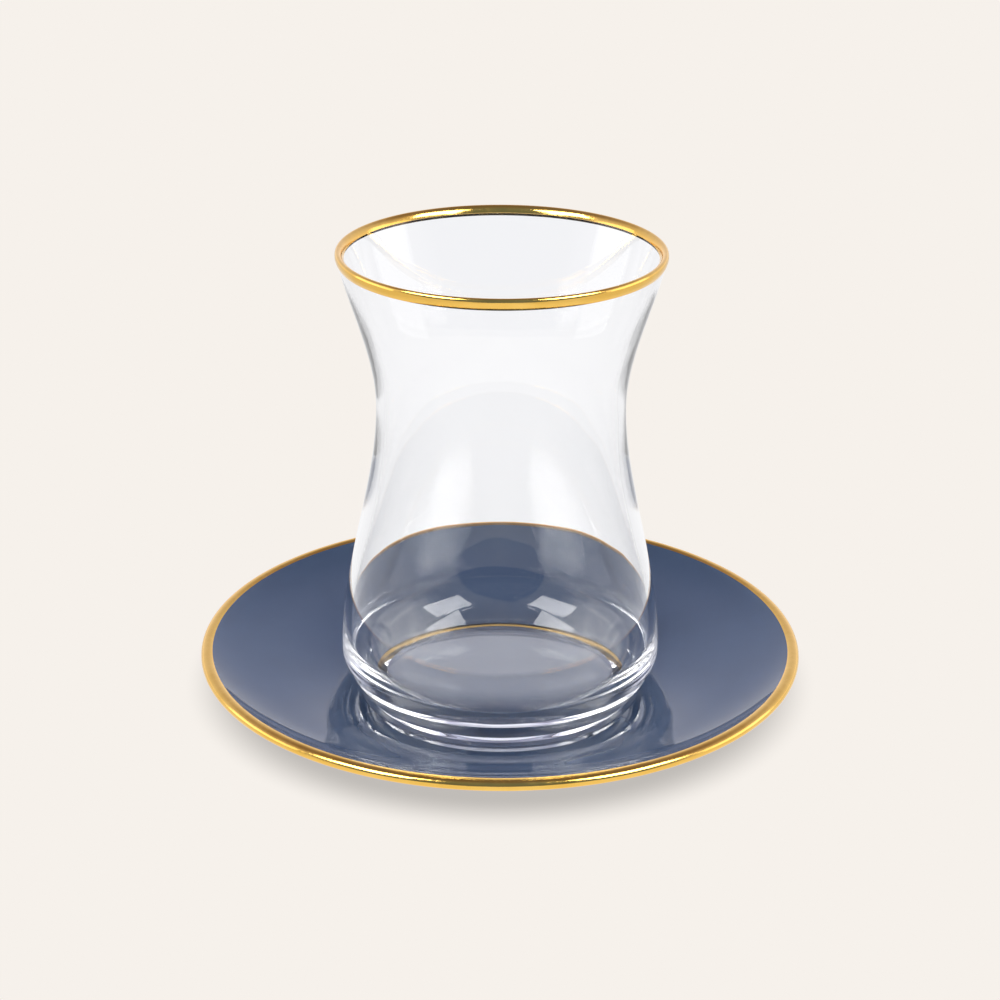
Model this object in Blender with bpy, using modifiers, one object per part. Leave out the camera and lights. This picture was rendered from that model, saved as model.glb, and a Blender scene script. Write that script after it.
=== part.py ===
"""A clear, waisted tea glass with a gilded lip, standing on a blue saucer with a gilded rim.

The saucer's foot ring stands on the plane z = 0 and everything is turned about the Z axis.
Sizes are in metres.
"""
import math

import bpy

# Saucer: overall radius, and the level well that the glass stands on
SAUCER_RADIUS = 0.0600
WELL_RADIUS = 0.0280
WELL_TOP = 0.0054
WELL_THICKNESS = 0.0030

# Saucer wall: rises above the well, and slopes, at the well's edge, half way out and at the rim
WELL_EDGE_SLOPE = 0.40
MIDWAY_RADIUS = 0.0445
MIDWAY_RISE = 0.0053
MIDWAY_SLOPE = 0.25
RIM_RISE = 0.0098
RIM_SLOPE = 0.61
MIDWAY_THICKNESS = 0.0026

# Saucer: the foot ring underneath
FOOT_RING_OUTER = 0.0340
FOOT_RING_INNER = 0.0305
FOOT_RING_TAPER = 0.0006

# Saucer: the gilded rim, a round bead that swells from the end of the wall
SAUCER_GOLD_WIDTH = 0.0023
SAUCER_GOLD_THICKNESS = 0.0019
SAUCER_BEAD_HALF_WIDTH = 0.00135
SAUCER_BEAD_HALF_HEIGHT = 0.00115

# Glass outside: heights above its foot, radii, and how fast the radius grows with height
FOOT_RADIUS = 0.0270
FOOT_SLOPE = 1.00
HEEL_HEIGHT = 0.0067
HEEL_RADIUS = 0.0313
HEEL_SLOPE = 0.50
BELLY_HEIGHT = 0.0086
BELLY_RADIUS = 0.0318
FLANK_HEIGHT = 0.0349
FLANK_RADIUS = 0.0279
FLANK_SLOPE = -0.223
WAIST_HEIGHT = 0.0601
WAIST_RADIUS = 0.0242
LIP_HEIGHT = 0.0884
LIP_RADIUS = 0.0310
LIP_SLOPE = 0.267

# Glass inside: the slightly domed floor, how steeply the round corner leaves it, in degrees, the corner's
# height and radius, and the wall's thickness at the stations above
BASE_THICKNESS = 0.0021
FLOOR_DOME = 0.0009
FLOOR_RADIUS = 0.0230
INNER_CORNER_START = 36.0
INNER_CORNER_HEIGHT = 0.0140
INNER_CORNER_RADIUS = 0.0298
INNER_CORNER_SLOPE = -0.04
WALL_AT_FLANK = 0.0022
WALL_AT_WAIST = 0.0017
WALL_AT_LIP = 0.0013

# Glass underneath: a shallow hollow inside the ring that it stands on
HOLLOW_RADIUS = 0.0230
HOLLOW_DEPTH = 0.00025

# The gilded bead round the glass's lip: half its width and height, its middle above the lip, and where
# its curve begins outside and ends inside, in degrees up from level
LIP_BEAD_HALF_WIDTH = 0.00085
LIP_BEAD_HALF_HEIGHT = 0.00135
LIP_BEAD_MIDDLE = 0.00115
LIP_BEAD_START = -40.0
LIP_BEAD_END = 178.0

# Where the glass's wall ends outside and inside, from the lip up, just under the bead
WALL_END_OUTSIDE = -0.0001
WALL_END_INSIDE = 0.0007

# Clearance kept between pieces that touch
GAP = 0.0003

# Facets round the turned shapes, and points along their curves
TURN_STEPS = 60
LONG_CURVE_POINTS = 6
SHORT_CURVE_POINTS = 3
BEAD_POINTS = 9

# Colours, linear
BLUE_GLAZE = (0.085, 0.125, 0.215)
GOLD = (0.80, 0.50, 0.16)
CLEAR = (0.95, 0.97, 0.97)


def clear_scene():
    """Remove every object, so that the model starts from nothing."""
    for item in list(bpy.data.objects):
        bpy.data.objects.remove(item, do_unlink=True)


def smooth_run(start, end, count):
    """Points of a smooth curve between two (position, value, slope) stations, without the first."""
    position_0, value_0, slope_0 = start
    position_1, value_1, slope_1 = end
    span = position_1 - position_0
    points = []
    for index in range(1, count + 1):
        t = index / count
        value = (1 + 2 * t) * (1 - t) ** 2 * value_0 + t * (1 - t) ** 2 * span * slope_0
        value += t * t * (3 - 2 * t) * value_1 + t * t * (t - 1) * span * slope_1
        points.append((position_0 + t * span, value))
    return points


def arc(centre, radius_across, radius_up, start_degrees, end_degrees, count):
    """Points along an arc of an ellipse, as (radius, height), with both its ends."""
    points = []
    for index in range(count + 1):
        angle = math.radians(start_degrees + (end_degrees - start_degrees) * index / count)
        points.append((centre[0] + radius_across * math.cos(angle), centre[1] + radius_up * math.sin(angle)))
    return points


def raised(points, height):
    """The same outline, higher up."""
    return [(radius, z + height) for radius, z in points]


def saucer_wall():
    """The upper surface of the saucer's wall from the well's edge out to the gilded rim."""
    well_edge = (WELL_RADIUS, WELL_TOP, WELL_EDGE_SLOPE)
    midway = (MIDWAY_RADIUS, WELL_TOP + MIDWAY_RISE, MIDWAY_SLOPE)
    rim = (SAUCER_RADIUS - SAUCER_GOLD_WIDTH - GAP, WELL_TOP + RIM_RISE, RIM_SLOPE)
    return smooth_run(well_edge, midway, LONG_CURVE_POINTS) + smooth_run(midway, rim, LONG_CURVE_POINTS)


def wall_thickness(radius):
    """How thick the saucer's wall is, upright, at a radius: it thins evenly from midway to the rim."""
    rim_radius = SAUCER_RADIUS - SAUCER_GOLD_WIDTH - GAP
    share = (radius - MIDWAY_RADIUS) / (rim_radius - MIDWAY_RADIUS)
    return MIDWAY_THICKNESS + (SAUCER_GOLD_THICKNESS - MIDWAY_THICKNESS) * share


def saucer_outline():
    """The section of the saucer, from the middle of its well to the middle underneath."""
    wall = saucer_wall()
    outer_wall = [(radius, height) for radius, height in wall if radius > MIDWAY_RADIUS - GAP]
    under_wall = [(radius, height - wall_thickness(radius)) for radius, height in outer_wall]
    foot_ring = [(FOOT_RING_OUTER, WELL_TOP), (FOOT_RING_OUTER - FOOT_RING_TAPER, 0.0)]
    foot_ring += [(FOOT_RING_INNER + FOOT_RING_TAPER, 0.0), (FOOT_RING_INNER, WELL_TOP - WELL_THICKNESS)]
    well = [(0.0, WELL_TOP), (WELL_RADIUS, WELL_TOP)]
    return well + wall + under_wall[::-1] + foot_ring + [(0.0, WELL_TOP - WELL_THICKNESS)]


def saucer_rim_section():
    """The section of the saucer's gilded rim: a round bead that swells from the end of the wall."""
    inner = SAUCER_RADIUS - SAUCER_GOLD_WIDTH
    top = WELL_TOP + RIM_RISE
    centre_radius = SAUCER_RADIUS - SAUCER_BEAD_HALF_WIDTH
    start = math.acos((inner - centre_radius) / SAUCER_BEAD_HALF_WIDTH)
    centre = (centre_radius, top - SAUCER_BEAD_HALF_HEIGHT * math.sin(start))
    bead = arc(centre, SAUCER_BEAD_HALF_WIDTH, SAUCER_BEAD_HALF_HEIGHT, math.degrees(start), -90, BEAD_POINTS)
    return bead + [(inner, top - SAUCER_GOLD_THICKNESS)]


def glass_outside(top_height):
    """The outer side of the glass from the given height down to its foot."""
    lip = (LIP_HEIGHT, LIP_RADIUS, LIP_SLOPE)
    waist = (WAIST_HEIGHT, WAIST_RADIUS, 0.0)
    flank = (FLANK_HEIGHT, FLANK_RADIUS, FLANK_SLOPE)
    belly = (BELLY_HEIGHT, BELLY_RADIUS, 0.0)
    heel = (HEEL_HEIGHT, HEEL_RADIUS, HEEL_SLOPE)
    foot = (0.0, FOOT_RADIUS, FOOT_SLOPE)
    heights = [(top_height, LIP_RADIUS + (top_height - LIP_HEIGHT) * LIP_SLOPE)]
    heights += smooth_run(lip, waist, LONG_CURVE_POINTS)
    heights += smooth_run(waist, flank, LONG_CURVE_POINTS)
    heights += smooth_run(flank, belly, LONG_CURVE_POINTS)
    heights += smooth_run(belly, heel, SHORT_CURVE_POINTS)
    heights += smooth_run(heel, foot, SHORT_CURVE_POINTS)
    return [(radius, height) for height, radius in heights]


def glass_floor():
    """The domed floor inside the glass, from its middle to where the corner begins."""
    points = []
    for index in range(SHORT_CURVE_POINTS):
        share = index / SHORT_CURVE_POINTS
        points.append((FLOOR_RADIUS * share, BASE_THICKNESS + FLOOR_DOME * (1 - share * share)))
    return points


def glass_inside(top_height):
    """The inner side of the glass from the middle of its floor up to the given height."""
    corner = (INNER_CORNER_HEIGHT, INNER_CORNER_RADIUS, INNER_CORNER_SLOPE)
    flank = (FLANK_HEIGHT, FLANK_RADIUS - WALL_AT_FLANK, FLANK_SLOPE)
    waist = (WAIST_HEIGHT, WAIST_RADIUS - WALL_AT_WAIST, 0.0)
    lip = (LIP_HEIGHT, LIP_RADIUS - WALL_AT_LIP, LIP_SLOPE)
    heights = smooth_run(corner, flank, LONG_CURVE_POINTS)
    heights += smooth_run(flank, waist, LONG_CURVE_POINTS)
    heights += smooth_run(waist, lip, LONG_CURVE_POINTS)
    heights[-1] = (top_height, LIP_RADIUS - WALL_AT_LIP + (top_height - LIP_HEIGHT) * LIP_SLOPE)
    start = math.radians(INNER_CORNER_START)
    across = (INNER_CORNER_RADIUS - FLOOR_RADIUS) / (1 - math.sin(start))
    rise = (INNER_CORNER_HEIGHT - BASE_THICKNESS) / math.cos(start)
    centre = (INNER_CORNER_RADIUS - across, INNER_CORNER_HEIGHT)
    floor_corner = arc(centre, across, rise, INNER_CORNER_START - 90, 0, LONG_CURVE_POINTS)
    return glass_floor() + floor_corner + [(radius, height) for height, radius in heights]


def glass_outline():
    """The whole section of the clear glass, from the middle of its floor to the middle underneath."""
    inside = glass_inside(LIP_HEIGHT + WALL_END_INSIDE)
    outside = glass_outside(LIP_HEIGHT + WALL_END_OUTSIDE)
    hollow = arc((0.0, 0.0), HOLLOW_RADIUS, HOLLOW_DEPTH, 0, 90, SHORT_CURVE_POINTS)
    return raised(inside + outside + hollow, WELL_TOP + GAP)


def lip_section():
    """The section of the gilded bead round the lip, leaning outward as the wall does."""
    middle = LIP_RADIUS - WALL_AT_LIP / 2
    bead = arc((middle, LIP_BEAD_MIDDLE), LIP_BEAD_HALF_WIDTH, LIP_BEAD_HALF_HEIGHT, LIP_BEAD_END,
               LIP_BEAD_START, BEAD_POINTS)
    return raised([(radius + rise * LIP_SLOPE, LIP_HEIGHT + rise) for radius, rise in bead], WELL_TOP + GAP)


def plain_material(name, colour, roughness, metallic, transmission):
    """A Principled BSDF material of one colour."""
    material = bpy.data.materials.new(name)
    material.use_nodes = True
    shader = material.node_tree.nodes["Principled BSDF"]
    shader.inputs["Base Color"].default_value = (*colour, 1.0)
    shader.inputs["Roughness"].default_value = roughness
    shader.inputs["Metallic"].default_value = metallic
    shader.inputs["Transmission Weight"].default_value = transmission
    material.diffuse_color = (*colour, 1.0)
    return material


def turned(name, outline, closed, material, collection):
    """A solid of revolution about the Z axis, from an outline that runs down its outer side.

    A closed outline is the section of a ring, and an open one starts and ends on the axis.
    """
    vertices = [(radius, 0.0, height) for radius, height in outline]
    edges = [(index, index + 1) for index in range(len(vertices) - 1)]
    if closed:
        edges.append((len(vertices) - 1, 0))
    mesh = bpy.data.meshes.new(name)
    mesh.from_pydata(vertices, edges, [])
    mesh.materials.append(material)
    piece = bpy.data.objects.new(name, mesh)
    collection.objects.link(piece)
    turn = piece.modifiers.new("Turn", "SCREW")
    turn.axis = "Z"
    turn.angle = math.tau
    turn.steps = TURN_STEPS
    turn.render_steps = TURN_STEPS
    turn.use_merge_vertices = True
    turn.merge_threshold = 0.00001
    turn.use_smooth_shade = True
    return piece


def build():
    """Make the four pieces of the set."""
    clear_scene()
    collection = bpy.data.collections.new("turkish_tea_glass")
    bpy.context.scene.collection.children.link(collection)
    clear_glass = plain_material("clear_glass", CLEAR, 0.02, 0.0, 1.0)
    blue_glaze = plain_material("blue_glaze", BLUE_GLAZE, 0.08, 0.0, 0.0)
    gilding = plain_material("gilding", GOLD, 0.18, 1.0, 0.0)
    turned("tea_glass", glass_outline(), False, clear_glass, collection)
    turned("glass_gold_lip", lip_section(), True, gilding, collection)
    turned("saucer", saucer_outline(), False, blue_glaze, collection)
    turned("saucer_gold_rim", saucer_rim_section(), True, gilding, collection)


build()
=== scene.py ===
"""A clear, waisted tea glass with a gilded lip on a blue saucer with a gilded rim, in a bright studio.

The four solids are replaced by finely turned pieces of the same outline. The hidden base of the glass
differs a little from its solid, so that it bends the light as the real one does. Sizes are in metres.
"""
import math

import bpy
from mathutils import Matrix, Vector


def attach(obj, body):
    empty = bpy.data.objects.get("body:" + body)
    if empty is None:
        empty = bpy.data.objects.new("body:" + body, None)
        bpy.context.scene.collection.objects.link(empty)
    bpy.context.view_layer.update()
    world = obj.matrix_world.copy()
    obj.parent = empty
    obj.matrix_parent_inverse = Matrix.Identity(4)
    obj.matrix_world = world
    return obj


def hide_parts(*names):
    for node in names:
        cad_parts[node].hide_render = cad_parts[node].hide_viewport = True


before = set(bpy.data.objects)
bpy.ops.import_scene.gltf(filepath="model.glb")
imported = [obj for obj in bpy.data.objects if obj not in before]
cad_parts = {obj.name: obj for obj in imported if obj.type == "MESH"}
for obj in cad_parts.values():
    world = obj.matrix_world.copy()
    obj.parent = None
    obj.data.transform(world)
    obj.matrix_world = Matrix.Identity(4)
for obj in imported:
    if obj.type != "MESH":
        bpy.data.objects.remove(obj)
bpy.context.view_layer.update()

# Saucer: overall radius, the level well, and the stations of its wall
SAUCER_RADIUS = 0.0600
WELL_RADIUS = 0.0280
WELL_TOP = 0.0054
WELL_THICKNESS = 0.0030
WELL_EDGE_SLOPE = 0.40
MIDWAY_RADIUS = 0.0445
MIDWAY_RISE = 0.0053
MIDWAY_SLOPE = 0.25
RIM_RISE = 0.0098
RIM_SLOPE = 0.61
MIDWAY_THICKNESS = 0.0026

# Saucer: the foot ring underneath
FOOT_RING_OUTER = 0.0340
FOOT_RING_INNER = 0.0305
FOOT_RING_TAPER = 0.0006

# Saucer: the gilded rim
SAUCER_GOLD_WIDTH = 0.0023
SAUCER_GOLD_THICKNESS = 0.0019
SAUCER_BEAD_HALF_WIDTH = 0.00135
SAUCER_BEAD_HALF_HEIGHT = 0.00115

# Glass outside: heights above its foot, radii, and how fast the radius grows with height
FOOT_RADIUS = 0.0270
FOOT_SLOPE = 0.90
HEEL_HEIGHT = 0.0067
HEEL_RADIUS = 0.0313
HEEL_SLOPE = 0.47
BELLY_HEIGHT = 0.0086
BELLY_RADIUS = 0.0318
FLANK_HEIGHT = 0.0349
FLANK_RADIUS = 0.0279
FLANK_SLOPE = -0.223
WAIST_HEIGHT = 0.0601
WAIST_RADIUS = 0.0242
LIP_HEIGHT = 0.0884
LIP_RADIUS = 0.0310
LIP_SLOPE = 0.267

# Glass inside: the slightly domed floor, how steeply the round corner leaves it, in degrees, the corner's
# height, radius and slope, and the wall's thickness at the stations above
BASE_THICKNESS = 0.0018
FLOOR_DOME = 0.0009
FLOOR_RADIUS = 0.0232
INNER_CORNER_START = 34.0
INNER_CORNER_HEIGHT = 0.0125
INNER_CORNER_RADIUS = 0.0298
INNER_CORNER_SLOPE = -0.04
WALL_AT_FLANK = 0.0022
WALL_AT_WAIST = 0.0017
WALL_AT_LIP = 0.0013

# Glass underneath: a shallow hollow
HOLLOW_RADIUS = 0.0230
HOLLOW_DEPTH = 0.00025

# The gilded bead round the glass's lip: half its width and height, its middle above the lip, and where
# its curve begins outside and ends inside, in degrees up from level
LIP_BEAD_HALF_WIDTH = 0.00085
LIP_BEAD_HALF_HEIGHT = 0.00135
LIP_BEAD_MIDDLE = 0.00115
LIP_BEAD_START = -40.0
LIP_BEAD_END = 178.0

# Where the glass's wall ends outside and inside, from the lip up, hidden in the bead
WALL_END_OUTSIDE = 0.0006
WALL_END_INSIDE = 0.0014

# The glass stands this far above the well, so that the two surfaces don't share a plane
GAP = 0.0003

# Facets round the turned pieces, points along their curves, the angle in degrees that stays a sharp
# edge, and how near the axis a point counts as on it
TURN_STEPS = 256
LONG_CURVE_POINTS = 30
SHORT_CURVE_POINTS = 10
BEAD_POINTS = 16
SHARP_ANGLE = 24.0
ON_AXIS = 1e-6

# Camera, fitted to the two gilded rims: its distance from the axis, its height above the table, its pitch
# and roll in degrees, its focal length and shift in picture widths, and its sensor in millimetres
CAMERA_BACK = 0.430
CAMERA_HEIGHT = 0.2237
CAMERA_PITCH = 22.54
CAMERA_ROLL = 0.26
FOCAL_LENGTH = 2.362
SENSOR_WIDTH = 36.0
SHIFT_X = -0.0007

# How often light may pass from face to face: it goes to and fro many times in the glass's thick base
LIGHT_BOUNCES = 32

# Colours, linear
BACKDROP = (0.922, 0.879, 0.832)
CLEAR = (1.0, 1.0, 1.0)
GLAZE = (0.056, 0.087, 0.158)
GLAZE_VARIATION = 0.07
GOLD_DEEP = (0.90, 0.53, 0.10)
GOLD_BRIGHT = (0.97, 0.60, 0.14)

# Index of refraction of the glass and of the glaze
REFRACTION = 1.5

# Patterns of noise, each with its features for each metre and its detail, and the range where nearly all
# of a noise lies
GLASS_WAVES = (90.0, 1.0)
GOLD_PATCHES = (160.0, 3.0)
GOLD_GRAIN = (420.0, 4.0)
GOLD_WAVES = (300.0, 2.0)
GLAZE_PATCHES = (45.0, 4.0)
GLAZE_GRAIN = (260.0, 3.0)
GLAZE_WAVES = (55.0, 1.0)
NOISE_LOW = 0.3
NOISE_HIGH = 0.7

# How rough each surface is, at least and at most
GOLD_ROUGHNESS = (0.10, 0.18)
GLAZE_ROUGHNESS = (0.03, 0.07)

# How strong the waves in each surface are, and how deep
GLASS_BUMP = (0.035, 0.0010)
GOLD_BUMP = (0.15, 0.0004)
GLAZE_BUMP = (0.10, 0.0010)

# The plain floor: cream to the camera. What the glass and the glaze show of it is nearly white, brightest
# in a strip from front to back and a little dimmer on both sides
FLOOR_SIZE = 8.0
FLOOR_SHOWN = (0.955, 0.955, 0.970)
STRIP_HALF_WIDTH = 0.055
STRIP_EDGE = 0.10
SIDE_BRIGHTNESS = 0.85

# A shadow of the saucer painted into the floor's glow, set back as a light from the front would cast it: how
# far back it falls, its radius, how softly it ends, and the share of light left in it
PAINTED_SHADOW_BACK = 0.0150
PAINTED_SHADOW_RADIUS = 0.0598
PAINTED_SHADOW_SOFTNESS = 0.0065
PAINTED_SHADOW_LIGHT = 0.575

# The room by direction, where each component of a direction runs from -1 to 1. Dull surfaces get an even
# light. Gloss and glass show a dark front, up to FRONT_END along Y, and from BACK_START on a bright back,
# whose light changes with the upright component
EVEN_LIGHT = (1.0, 1.0, 1.0)
FRONT_DARK = (0.15, 0.21, 0.34)
FRONT_END = -0.60
BACK_START = -0.10
BACK_LIGHT = [
    (0.00, (1.08, 1.06, 1.10)),
    (0.10, (1.00, 0.98, 1.08)),
    (0.20, (0.87, 0.86, 1.00)),
    (0.30, (0.78, 0.79, 1.00)),
    (0.42, (0.72, 0.73, 0.94)),
    (0.53, (0.62, 0.62, 0.82)),
    (0.64, (0.46, 0.42, 0.55)),
    (0.78, (0.26, 0.22, 0.30)),
    (1.00, (0.16, 0.15, 0.20)),
]

# Seen only through the glass: a bright screen on each side that starts some way up, a pale middle between
# the two that ends high up, and dim far sides low down. Each has its limits sideways and upright, and
# soft ends
SCREEN_SIDE = 0.35
SCREEN_LOW = 0.30
SCREEN_EDGE = 0.05
SCREEN_LIGHT = (2.5, 2.5, 2.5)
MIDDLE_SIDE = 0.15
MIDDLE_TOP = 0.60
MIDDLE_LIGHT = (1.05, 1.07, 1.20)
FAR_START = 0.80
FAR_FULL = 0.95
FAR_TOP = 0.25
FAR_LIGHT = (0.45, 0.46, 0.50)
SOFT_EDGE = 0.15

# The lights, on each side a bright softbox in front and a dim low panel beside the set: how far they are
# from the point that they face, their angles in degrees from the front and up, and their widths, heights
# and brightness
LIGHT_DISTANCE = 1.6
LIGHT_TARGET = (0.0, 0.0, 0.05)
BOX_AZIMUTH = 55.0
BOX_ELEVATION = 42.0
BOX_SIZE = (0.9, 0.7)
BOX_RADIANCE = 10.0
PANEL_AZIMUTH = 95.0
PANEL_ELEVATION = 10.0
PANEL_SIZE = (1.1, 0.8)
PANEL_RADIANCE = 0.9

# The two ways that a factor may run along a range
RISING = (0.0, 1.0)
FALLING = (1.0, 0.0)


def smooth_run(start, end, count):
    """Points of a smooth curve between two (position, value, slope) stations, without the first."""
    position_0, value_0, slope_0 = start
    position_1, value_1, slope_1 = end
    span = position_1 - position_0
    points = []
    for index in range(1, count + 1):
        t = index / count
        value = (1 + 2 * t) * (1 - t) ** 2 * value_0 + t * (1 - t) ** 2 * span * slope_0
        value += t * t * (3 - 2 * t) * value_1 + t * t * (t - 1) * span * slope_1
        points.append((position_0 + t * span, value))
    return points


def arc(centre, radius_across, radius_up, start_degrees, end_degrees, count):
    """Points along an arc of an ellipse, as (radius, height), with both its ends."""
    points = []
    for index in range(count + 1):
        angle = math.radians(start_degrees + (end_degrees - start_degrees) * index / count)
        points.append((centre[0] + radius_across * math.cos(angle), centre[1] + radius_up * math.sin(angle)))
    return points


def raised(points, height):
    """The same outline, higher up."""
    return [(radius, z + height) for radius, z in points]


def saucer_wall():
    """The upper surface of the saucer's wall from the well's edge out to the gilded rim."""
    well_edge = (WELL_RADIUS, WELL_TOP, WELL_EDGE_SLOPE)
    midway = (MIDWAY_RADIUS, WELL_TOP + MIDWAY_RISE, MIDWAY_SLOPE)
    rim = (SAUCER_RADIUS - SAUCER_GOLD_WIDTH, WELL_TOP + RIM_RISE, RIM_SLOPE)
    return smooth_run(well_edge, midway, LONG_CURVE_POINTS) + smooth_run(midway, rim, LONG_CURVE_POINTS)


def wall_thickness(radius):
    """How thick the saucer's wall is, upright, at a radius: it thins evenly from midway to the rim."""
    rim_radius = SAUCER_RADIUS - SAUCER_GOLD_WIDTH
    share = (radius - MIDWAY_RADIUS) / (rim_radius - MIDWAY_RADIUS)
    return MIDWAY_THICKNESS + (SAUCER_GOLD_THICKNESS - MIDWAY_THICKNESS) * share


def saucer_outline():
    """The section of the saucer, from the middle of its well to the middle underneath."""
    wall = saucer_wall()
    wall_from_midway = wall[LONG_CURVE_POINTS - 1:]
    under_wall = [(radius, height - wall_thickness(radius)) for radius, height in wall_from_midway]
    foot_ring = [(FOOT_RING_OUTER, WELL_TOP), (FOOT_RING_OUTER - FOOT_RING_TAPER, 0.0)]
    foot_ring += [(FOOT_RING_INNER + FOOT_RING_TAPER, 0.0), (FOOT_RING_INNER, WELL_TOP - WELL_THICKNESS)]
    well = [(0.0, WELL_TOP), (WELL_RADIUS / 2, WELL_TOP), (WELL_RADIUS, WELL_TOP)]
    return well + wall + under_wall[::-1] + foot_ring + [(0.0, WELL_TOP - WELL_THICKNESS)]


def saucer_rim_section():
    """The section of the saucer's gilded rim: a round bead that swells from the end of the wall."""
    inner = SAUCER_RADIUS - SAUCER_GOLD_WIDTH
    top = WELL_TOP + RIM_RISE
    centre_radius = SAUCER_RADIUS - SAUCER_BEAD_HALF_WIDTH
    start = math.acos((inner - centre_radius) / SAUCER_BEAD_HALF_WIDTH)
    centre = (centre_radius, top - SAUCER_BEAD_HALF_HEIGHT * math.sin(start))
    bead = arc(centre, SAUCER_BEAD_HALF_WIDTH, SAUCER_BEAD_HALF_HEIGHT, math.degrees(start), -90,
               BEAD_POINTS)
    return bead + [(inner, top - SAUCER_GOLD_THICKNESS)]


def glass_outside(top_height):
    """The outer side of the glass from the given height down to its foot."""
    lip = (LIP_HEIGHT, LIP_RADIUS, LIP_SLOPE)
    waist = (WAIST_HEIGHT, WAIST_RADIUS, 0.0)
    flank = (FLANK_HEIGHT, FLANK_RADIUS, FLANK_SLOPE)
    belly = (BELLY_HEIGHT, BELLY_RADIUS, 0.0)
    heel = (HEEL_HEIGHT, HEEL_RADIUS, HEEL_SLOPE)
    foot = (0.0, FOOT_RADIUS, FOOT_SLOPE)
    side = [(top_height, LIP_RADIUS + (top_height - LIP_HEIGHT) * LIP_SLOPE), (LIP_HEIGHT, LIP_RADIUS)]
    side += smooth_run(lip, waist, LONG_CURVE_POINTS)
    side += smooth_run(waist, flank, LONG_CURVE_POINTS)
    side += smooth_run(flank, belly, LONG_CURVE_POINTS)
    side += smooth_run(belly, heel, SHORT_CURVE_POINTS)
    side += smooth_run(heel, foot, SHORT_CURVE_POINTS)
    return [(radius, height) for height, radius in side]


def glass_floor():
    """The domed floor inside the glass, from its middle to just before the corner begins."""
    points = []
    for index in range(SHORT_CURVE_POINTS):
        share = index / SHORT_CURVE_POINTS
        points.append((FLOOR_RADIUS * share, BASE_THICKNESS + FLOOR_DOME * (1 - share * share)))
    return points


def floor_corner():
    """The round corner inside the glass, from the floor's edge to where the wall begins."""
    start = math.radians(INNER_CORNER_START)
    across = (INNER_CORNER_RADIUS - FLOOR_RADIUS) / (1 - math.sin(start))
    rise = (INNER_CORNER_HEIGHT - BASE_THICKNESS) / math.cos(start)
    centre = (INNER_CORNER_RADIUS - across, INNER_CORNER_HEIGHT)
    return arc(centre, across, rise, INNER_CORNER_START - 90, 0, LONG_CURVE_POINTS)


def glass_inside(top_height):
    """The inner side of the glass from the middle of its floor up to the given height."""
    corner = (INNER_CORNER_HEIGHT, INNER_CORNER_RADIUS, INNER_CORNER_SLOPE)
    flank = (FLANK_HEIGHT, FLANK_RADIUS - WALL_AT_FLANK, FLANK_SLOPE)
    waist = (WAIST_HEIGHT, WAIST_RADIUS - WALL_AT_WAIST, 0.0)
    lip = (LIP_HEIGHT, LIP_RADIUS - WALL_AT_LIP, LIP_SLOPE)
    side = smooth_run(corner, flank, LONG_CURVE_POINTS)
    side += smooth_run(flank, waist, LONG_CURVE_POINTS)
    side += smooth_run(waist, lip, LONG_CURVE_POINTS)
    side.append((top_height, LIP_RADIUS - WALL_AT_LIP + (top_height - LIP_HEIGHT) * LIP_SLOPE))
    return glass_floor() + floor_corner() + [(radius, height) for height, radius in side]


def glass_outline():
    """The section of the clear glass, from the middle of its floor to the middle underneath."""
    inside = glass_inside(LIP_HEIGHT + WALL_END_INSIDE)
    outside = glass_outside(LIP_HEIGHT + WALL_END_OUTSIDE)
    hollow = arc((0.0, 0.0), HOLLOW_RADIUS, HOLLOW_DEPTH, 0, 90, SHORT_CURVE_POINTS)
    return raised(inside + outside + hollow, WELL_TOP + GAP)


def lip_section():
    """The section of the gilded bead round the lip, leaning outward as the wall does."""
    middle = LIP_RADIUS - WALL_AT_LIP / 2
    bead = arc((middle, LIP_BEAD_MIDDLE), LIP_BEAD_HALF_WIDTH, LIP_BEAD_HALF_HEIGHT, LIP_BEAD_END,
               LIP_BEAD_START, BEAD_POINTS)
    return raised([(radius + rise * LIP_SLOPE, LIP_HEIGHT + rise) for radius, rise in bead], WELL_TOP + GAP)


def turned(name, outline, closed, material, node):
    """A finely turned piece that stands for a node, from an outline that runs down its outer side."""
    vertices = []
    rings = []
    for radius, height in outline:
        if radius < ON_AXIS:
            rings.append([len(vertices)] * TURN_STEPS)
            vertices.append((0.0, 0.0, height))
            continue
        rings.append(list(range(len(vertices), len(vertices) + TURN_STEPS)))
        for step in range(TURN_STEPS):
            angle = math.tau * step / TURN_STEPS
            vertices.append((radius * math.cos(angle), radius * math.sin(angle), height))
    pairs = list(zip(rings, rings[1:]))
    if closed:
        pairs.append((rings[-1], rings[0]))
    faces = []
    for upper, lower in pairs:
        for step in range(TURN_STEPS):
            following = (step + 1) % TURN_STEPS
            corners = [upper[step], lower[step], lower[following], upper[following]]
            faces.append(list(dict.fromkeys(corners)))
    mesh = bpy.data.meshes.new(name)
    mesh.from_pydata(vertices, [], faces)
    mesh.polygons.foreach_set("use_smooth", [True] * len(mesh.polygons))
    mesh.set_sharp_from_angle(angle=math.radians(SHARP_ANGLE))
    mesh.materials.append(material)
    piece = bpy.data.objects.new(name, mesh)
    bpy.context.scene.collection.objects.link(piece)
    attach(piece, "root")
    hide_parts(node)


def map_range(tree, value, source, target):
    """A value moved from one range to another, and kept inside it."""
    node = tree.nodes.new("ShaderNodeMapRange")
    node.inputs["From Min"].default_value = source[0]
    node.inputs["From Max"].default_value = source[1]
    node.inputs["To Min"].default_value = target[0]
    node.inputs["To Max"].default_value = target[1]
    tree.links.new(value, node.inputs["Value"])
    return node.outputs["Result"]


def absolute(tree, value):
    """A value without its sign."""
    node = tree.nodes.new("ShaderNodeMath")
    node.operation = "ABSOLUTE"
    tree.links.new(value, node.inputs[0])
    return node.outputs[0]


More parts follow.
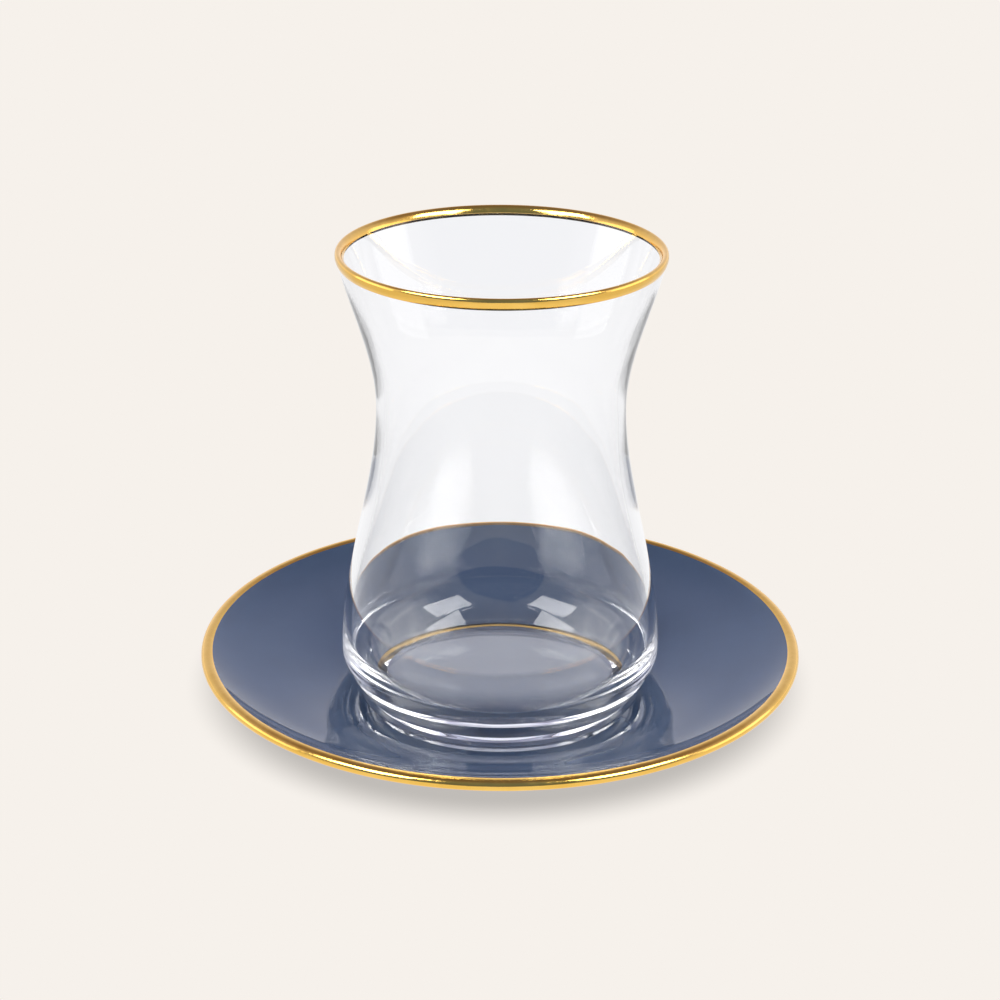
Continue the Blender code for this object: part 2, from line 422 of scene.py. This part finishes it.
def product(tree, first, second):
    """Two values multiplied."""
    node = tree.nodes.new("ShaderNodeMath")
    node.operation = "MULTIPLY"
    tree.links.new(first, node.inputs[0])
    tree.links.new(second, node.inputs[1])
    return node.outputs[0]


def colour_ramp(tree, value, stops):
    """Colours at positions from 0 to 1."""
    ramp = tree.nodes.new("ShaderNodeValToRGB")
    first, last = ramp.color_ramp.elements
    first.position = stops[0][0]
    first.color = (*stops[0][1], 1.0)
    last.position = stops[-1][0]
    last.color = (*stops[-1][1], 1.0)
    for position, colour in stops[1:-1]:
        ramp.color_ramp.elements.new(position).color = (*colour, 1.0)
    tree.links.new(value, ramp.inputs["Fac"])
    return ramp.outputs["Color"]


def colour_mix(tree, factor, first, second):
    """Two colours, each a value or a socket, mixed by a factor."""
    node = tree.nodes.new("ShaderNodeMix")
    node.data_type = "RGBA"
    tree.links.new(factor, node.inputs["Factor"])
    for name, colour in (("A", first), ("B", second)):
        socket = [item for item in node.inputs if item.name == name and item.type == "RGBA"][0]
        if isinstance(colour, tuple):
            socket.default_value = (*colour, 1.0)
        else:
            tree.links.new(colour, socket)
    return [item for item in node.outputs if item.type == "RGBA"][0]


def shader_mix(tree, factor, first, second):
    """One shader where the factor is 0 and the other where it is 1."""
    mix = tree.nodes.new("ShaderNodeMixShader")
    tree.links.new(factor, mix.inputs[0])
    tree.links.new(first, mix.inputs[1])
    tree.links.new(second, mix.inputs[2])
    return mix.outputs[0]


def new_material(name):
    """A material with its node tree, its Principled shader and its object coordinates."""
    material = bpy.data.materials.new(name)
    material.use_nodes = True
    nodes = material.node_tree.nodes
    coordinates = nodes.new("ShaderNodeTexCoord")
    return material, material.node_tree, nodes["Principled BSDF"], coordinates.outputs["Object"]


def noise(tree, coordinates, pattern):
    """A noise over the object, from its features for each metre and its detail."""
    texture = tree.nodes.new("ShaderNodeTexNoise")
    texture.inputs["Scale"].default_value = pattern[0]
    texture.inputs["Detail"].default_value = pattern[1]
    tree.links.new(coordinates, texture.inputs["Vector"])
    return texture.outputs["Fac"]


def set_patches(tree, shader, coordinates, pattern, low, high):
    """A shader's colour, varied between two colours by a noise."""
    stops = [(NOISE_LOW, low), (NOISE_HIGH, high)]
    colour = colour_ramp(tree, noise(tree, coordinates, pattern), stops)
    tree.links.new(colour, shader.inputs["Base Color"])


def set_roughness(tree, shader, coordinates, pattern, limits):
    """A shader's roughness, varied between two limits by a noise."""
    grain = noise(tree, coordinates, pattern)
    tree.links.new(map_range(tree, grain, (NOISE_LOW, NOISE_HIGH), limits), shader.inputs["Roughness"])


def set_waves(tree, shader, coordinates, pattern, bump):
    """Waves on a shader's surface from a noise, with the strength and depth of a bump."""
    node = tree.nodes.new("ShaderNodeBump")
    node.inputs["Strength"].default_value = bump[0]
    node.inputs["Distance"].default_value = bump[1]
    tree.links.new(noise(tree, coordinates, pattern), node.inputs["Height"])
    tree.links.new(node.outputs["Normal"], shader.inputs["Normal"])


def glass_material():
    """Clear pressed glass, whose surface waves a little."""
    material, tree, shader, coordinates = new_material("clear_glass_look")
    shader.inputs["Base Color"].default_value = (*CLEAR, 1.0)
    shader.inputs["Transmission Weight"].default_value = 1.0
    shader.inputs["IOR"].default_value = REFRACTION
    shader.inputs["Roughness"].default_value = 0.0
    set_waves(tree, shader, coordinates, GLASS_WAVES, GLASS_BUMP)
    return material


def gilding_material():
    """Polished gilding, a little uneven, as it is when brushed on by hand and fired."""
    material, tree, shader, coordinates = new_material("gilding_look")
    shader.inputs["Metallic"].default_value = 1.0
    set_patches(tree, shader, coordinates, GOLD_PATCHES, GOLD_DEEP, GOLD_BRIGHT)
    set_roughness(tree, shader, coordinates, GOLD_GRAIN, GOLD_ROUGHNESS)
    set_waves(tree, shader, coordinates, GOLD_WAVES, GOLD_BUMP)
    return material


def glaze_material():
    """A deep, glossy blue glaze that waves a little over the clay."""
    material, tree, shader, coordinates = new_material("blue_glaze_look")
    shader.inputs["IOR"].default_value = REFRACTION
    low = tuple(channel * (1 - GLAZE_VARIATION) for channel in GLAZE)
    high = tuple(channel * (1 + GLAZE_VARIATION) for channel in GLAZE)
    set_patches(tree, shader, coordinates, GLAZE_PATCHES, low, high)
    set_roughness(tree, shader, coordinates, GLAZE_GRAIN, GLAZE_ROUGHNESS)
    set_waves(tree, shader, coordinates, GLAZE_WAVES, GLAZE_BUMP)
    return material


def make_floor():
    """A large pale floor that glows evenly, but for a soft shadow painted into its glow close under the
    saucer.
    """
    bpy.ops.mesh.primitive_plane_add(size=FLOOR_SIZE, location=(0.0, 0.0, 0.0))
    floor = bpy.context.object
    floor.name = "studio_floor"
    material = bpy.data.materials.new("floor_look")
    material.use_nodes = True
    tree = material.node_tree
    tree.nodes.clear()
    path = tree.nodes.new("ShaderNodeLightPath")
    coordinates = tree.nodes.new("ShaderNodeTexCoord")
    place = tree.nodes.new("ShaderNodeSeparateXYZ")
    tree.links.new(coordinates.outputs["Object"], place.inputs[0])
    strip_end = (STRIP_HALF_WIDTH, STRIP_HALF_WIDTH + STRIP_EDGE)
    side = map_range(tree, absolute(tree, place.outputs["X"]), strip_end, RISING)
    dim = tuple(channel * SIDE_BRIGHTNESS for channel in FLOOR_SHOWN)
    strip = colour_mix(tree, side, FLOOR_SHOWN, dim)
    # painted shadow: the glow dims in a soft disc set back under the saucer, for the camera and in what
    # gloss and glass show
    from_painted_shadow = tree.nodes.new("ShaderNodeVectorMath")
    from_painted_shadow.operation = "DISTANCE"
    from_painted_shadow.inputs[1].default_value = (0.0, PAINTED_SHADOW_BACK, 0.0)
    tree.links.new(coordinates.outputs["Object"], from_painted_shadow.inputs[0])
    painted_shadow_end = (PAINTED_SHADOW_RADIUS - PAINTED_SHADOW_SOFTNESS, PAINTED_SHADOW_RADIUS + PAINTED_SHADOW_SOFTNESS)
    light = map_range(tree, from_painted_shadow.outputs["Value"], painted_shadow_end, (PAINTED_SHADOW_LIGHT, 1.0))
    light.node.interpolation_type = "SMOOTHSTEP"
    glow = tree.nodes.new("ShaderNodeEmission")
    tree.links.new(colour_mix(tree, path.outputs["Is Camera Ray"], strip, BACKDROP), glow.inputs["Color"])
    tree.links.new(light, glow.inputs["Strength"])
    output = tree.nodes.new("ShaderNodeOutputMaterial")
    tree.links.new(glow.outputs[0], output.inputs["Surface"])
    floor.data.materials.append(material)


def background(tree, colour):
    """A light from all round, of one colour or from a colour socket."""
    node = tree.nodes.new("ShaderNodeBackground")
    if isinstance(colour, tuple):
        node.inputs["Color"].default_value = (*colour, 1.0)
    else:
        tree.links.new(colour, node.inputs["Color"])
    return node.outputs[0]


def back_colour(tree, direction, through_glass):
    """The bright back of the room by direction, with the parts that show only through the glass."""
    sideways = absolute(tree, direction.outputs["X"])
    upright = direction.outputs["Z"]
    aside = map_range(tree, sideways, (SCREEN_SIDE - SCREEN_EDGE, SCREEN_SIDE + SCREEN_EDGE), RISING)
    above = map_range(tree, upright, (SCREEN_LOW - SCREEN_EDGE, SCREEN_LOW + SCREEN_EDGE), RISING)
    between = map_range(tree, sideways, (MIDDLE_SIDE, MIDDLE_SIDE + SOFT_EDGE), FALLING)
    below = map_range(tree, upright, (MIDDLE_TOP, MIDDLE_TOP + SOFT_EDGE), FALLING)
    far = map_range(tree, sideways, (FAR_START, FAR_FULL), RISING)
    low = map_range(tree, upright, (FAR_TOP, FAR_TOP + SOFT_EDGE), FALLING)
    colour = colour_ramp(tree, upright, BACK_LIGHT)
    parts = ((aside, above, SCREEN_LIGHT), (between, below, MIDDLE_LIGHT), (far, low, FAR_LIGHT))
    for across, up, light in parts:
        share = product(tree, product(tree, across, up), through_glass)
        colour = colour_mix(tree, share, colour, light)
    return colour


def make_room():
    """The light from all round: what dull surfaces get, and what gloss and glass show of the room."""
    world = bpy.data.worlds.new("studio_room")
    bpy.context.scene.world = world
    world.use_nodes = True
    world.cycles.sampling_method = "NONE"
    tree = world.node_tree
    tree.nodes.clear()
    path = tree.nodes.new("ShaderNodeLightPath")
    coordinates = tree.nodes.new("ShaderNodeTexCoord")
    direction = tree.nodes.new("ShaderNodeSeparateXYZ")
    tree.links.new(coordinates.outputs["Generated"], direction.inputs[0])
    behind = map_range(tree, direction.outputs["Y"], (FRONT_END, BACK_START), RISING)
    back = back_colour(tree, direction, path.outputs["Is Transmission Ray"])
    shown = background(tree, colour_mix(tree, behind, FRONT_DARK, back))
    even = background(tree, EVEN_LIGHT)
    backdrop = background(tree, BACKDROP)
    lit = shader_mix(tree, path.outputs["Is Diffuse Ray"], shown, even)
    output = tree.nodes.new("ShaderNodeOutputWorld")
    tree.links.new(shader_mix(tree, path.outputs["Is Camera Ray"], lit, backdrop), output.inputs["Surface"])


def soft_light(name, azimuth, elevation, size, radiance):
    """A soft rectangular light that faces the set, seen only in what gloss and glass show."""
    width, height = size
    light = bpy.data.lights.new(name, "AREA")
    light.shape = "RECTANGLE"
    light.size = width
    light.size_y = height
    light.energy = radiance * math.pi * width * height
    item = bpy.data.objects.new(name, light)
    bpy.context.scene.collection.objects.link(item)
    side = math.radians(azimuth)
    rise = math.radians(elevation)
    direction = Vector((math.sin(side) * math.cos(rise), -math.cos(side) * math.cos(rise), math.sin(rise)))
    item.location = Vector(LIGHT_TARGET) + direction * LIGHT_DISTANCE
    item.rotation_euler = direction.to_track_quat("Z", "Y").to_euler()
    item.visible_diffuse = False
    item.visible_camera = False


def make_camera():
    """The camera at the place and angle that the two gilded rims give."""
    camera = bpy.data.cameras.new("camera")
    camera.sensor_width = SENSOR_WIDTH
    camera.lens = FOCAL_LENGTH * SENSOR_WIDTH
    camera.shift_x = SHIFT_X
    item = bpy.data.objects.new("camera", camera)
    bpy.context.scene.collection.objects.link(item)
    place = Matrix.Translation((0.0, -CAMERA_BACK, CAMERA_HEIGHT))
    pitch = Matrix.Rotation(math.radians(90.0 - CAMERA_PITCH), 4, "X")
    roll = Matrix.Rotation(math.radians(CAMERA_ROLL), 4, "Z")
    item.matrix_world = place @ pitch @ roll
    bpy.context.scene.camera = item


gilding = gilding_material()
turned("glass", glass_outline(), False, glass_material(), "tea_glass")
turned("glass_gilding", lip_section(), True, gilding, "glass_gold_lip")
turned("saucer_body", saucer_outline(), False, glaze_material(), "saucer")
turned("saucer_gilding", saucer_rim_section(), True, gilding, "saucer_gold_rim")
make_floor()
make_room()
for side_name, side in (("left", -1), ("right", 1)):
    soft_light(side_name + "_softbox", side * BOX_AZIMUTH, BOX_ELEVATION, BOX_SIZE, BOX_RADIANCE)
    soft_light(side_name + "_panel", side * PANEL_AZIMUTH, PANEL_ELEVATION, PANEL_SIZE, PANEL_RADIANCE)
make_camera()
bpy.context.scene.view_settings.view_transform = "Standard"
bpy.context.scene.cycles.max_bounces = LIGHT_BOUNCES
bpy.context.scene.cycles.transmission_bounces = LIGHT_BOUNCES
bpy.context.scene.cycles.glossy_bounces = LIGHT_BOUNCES
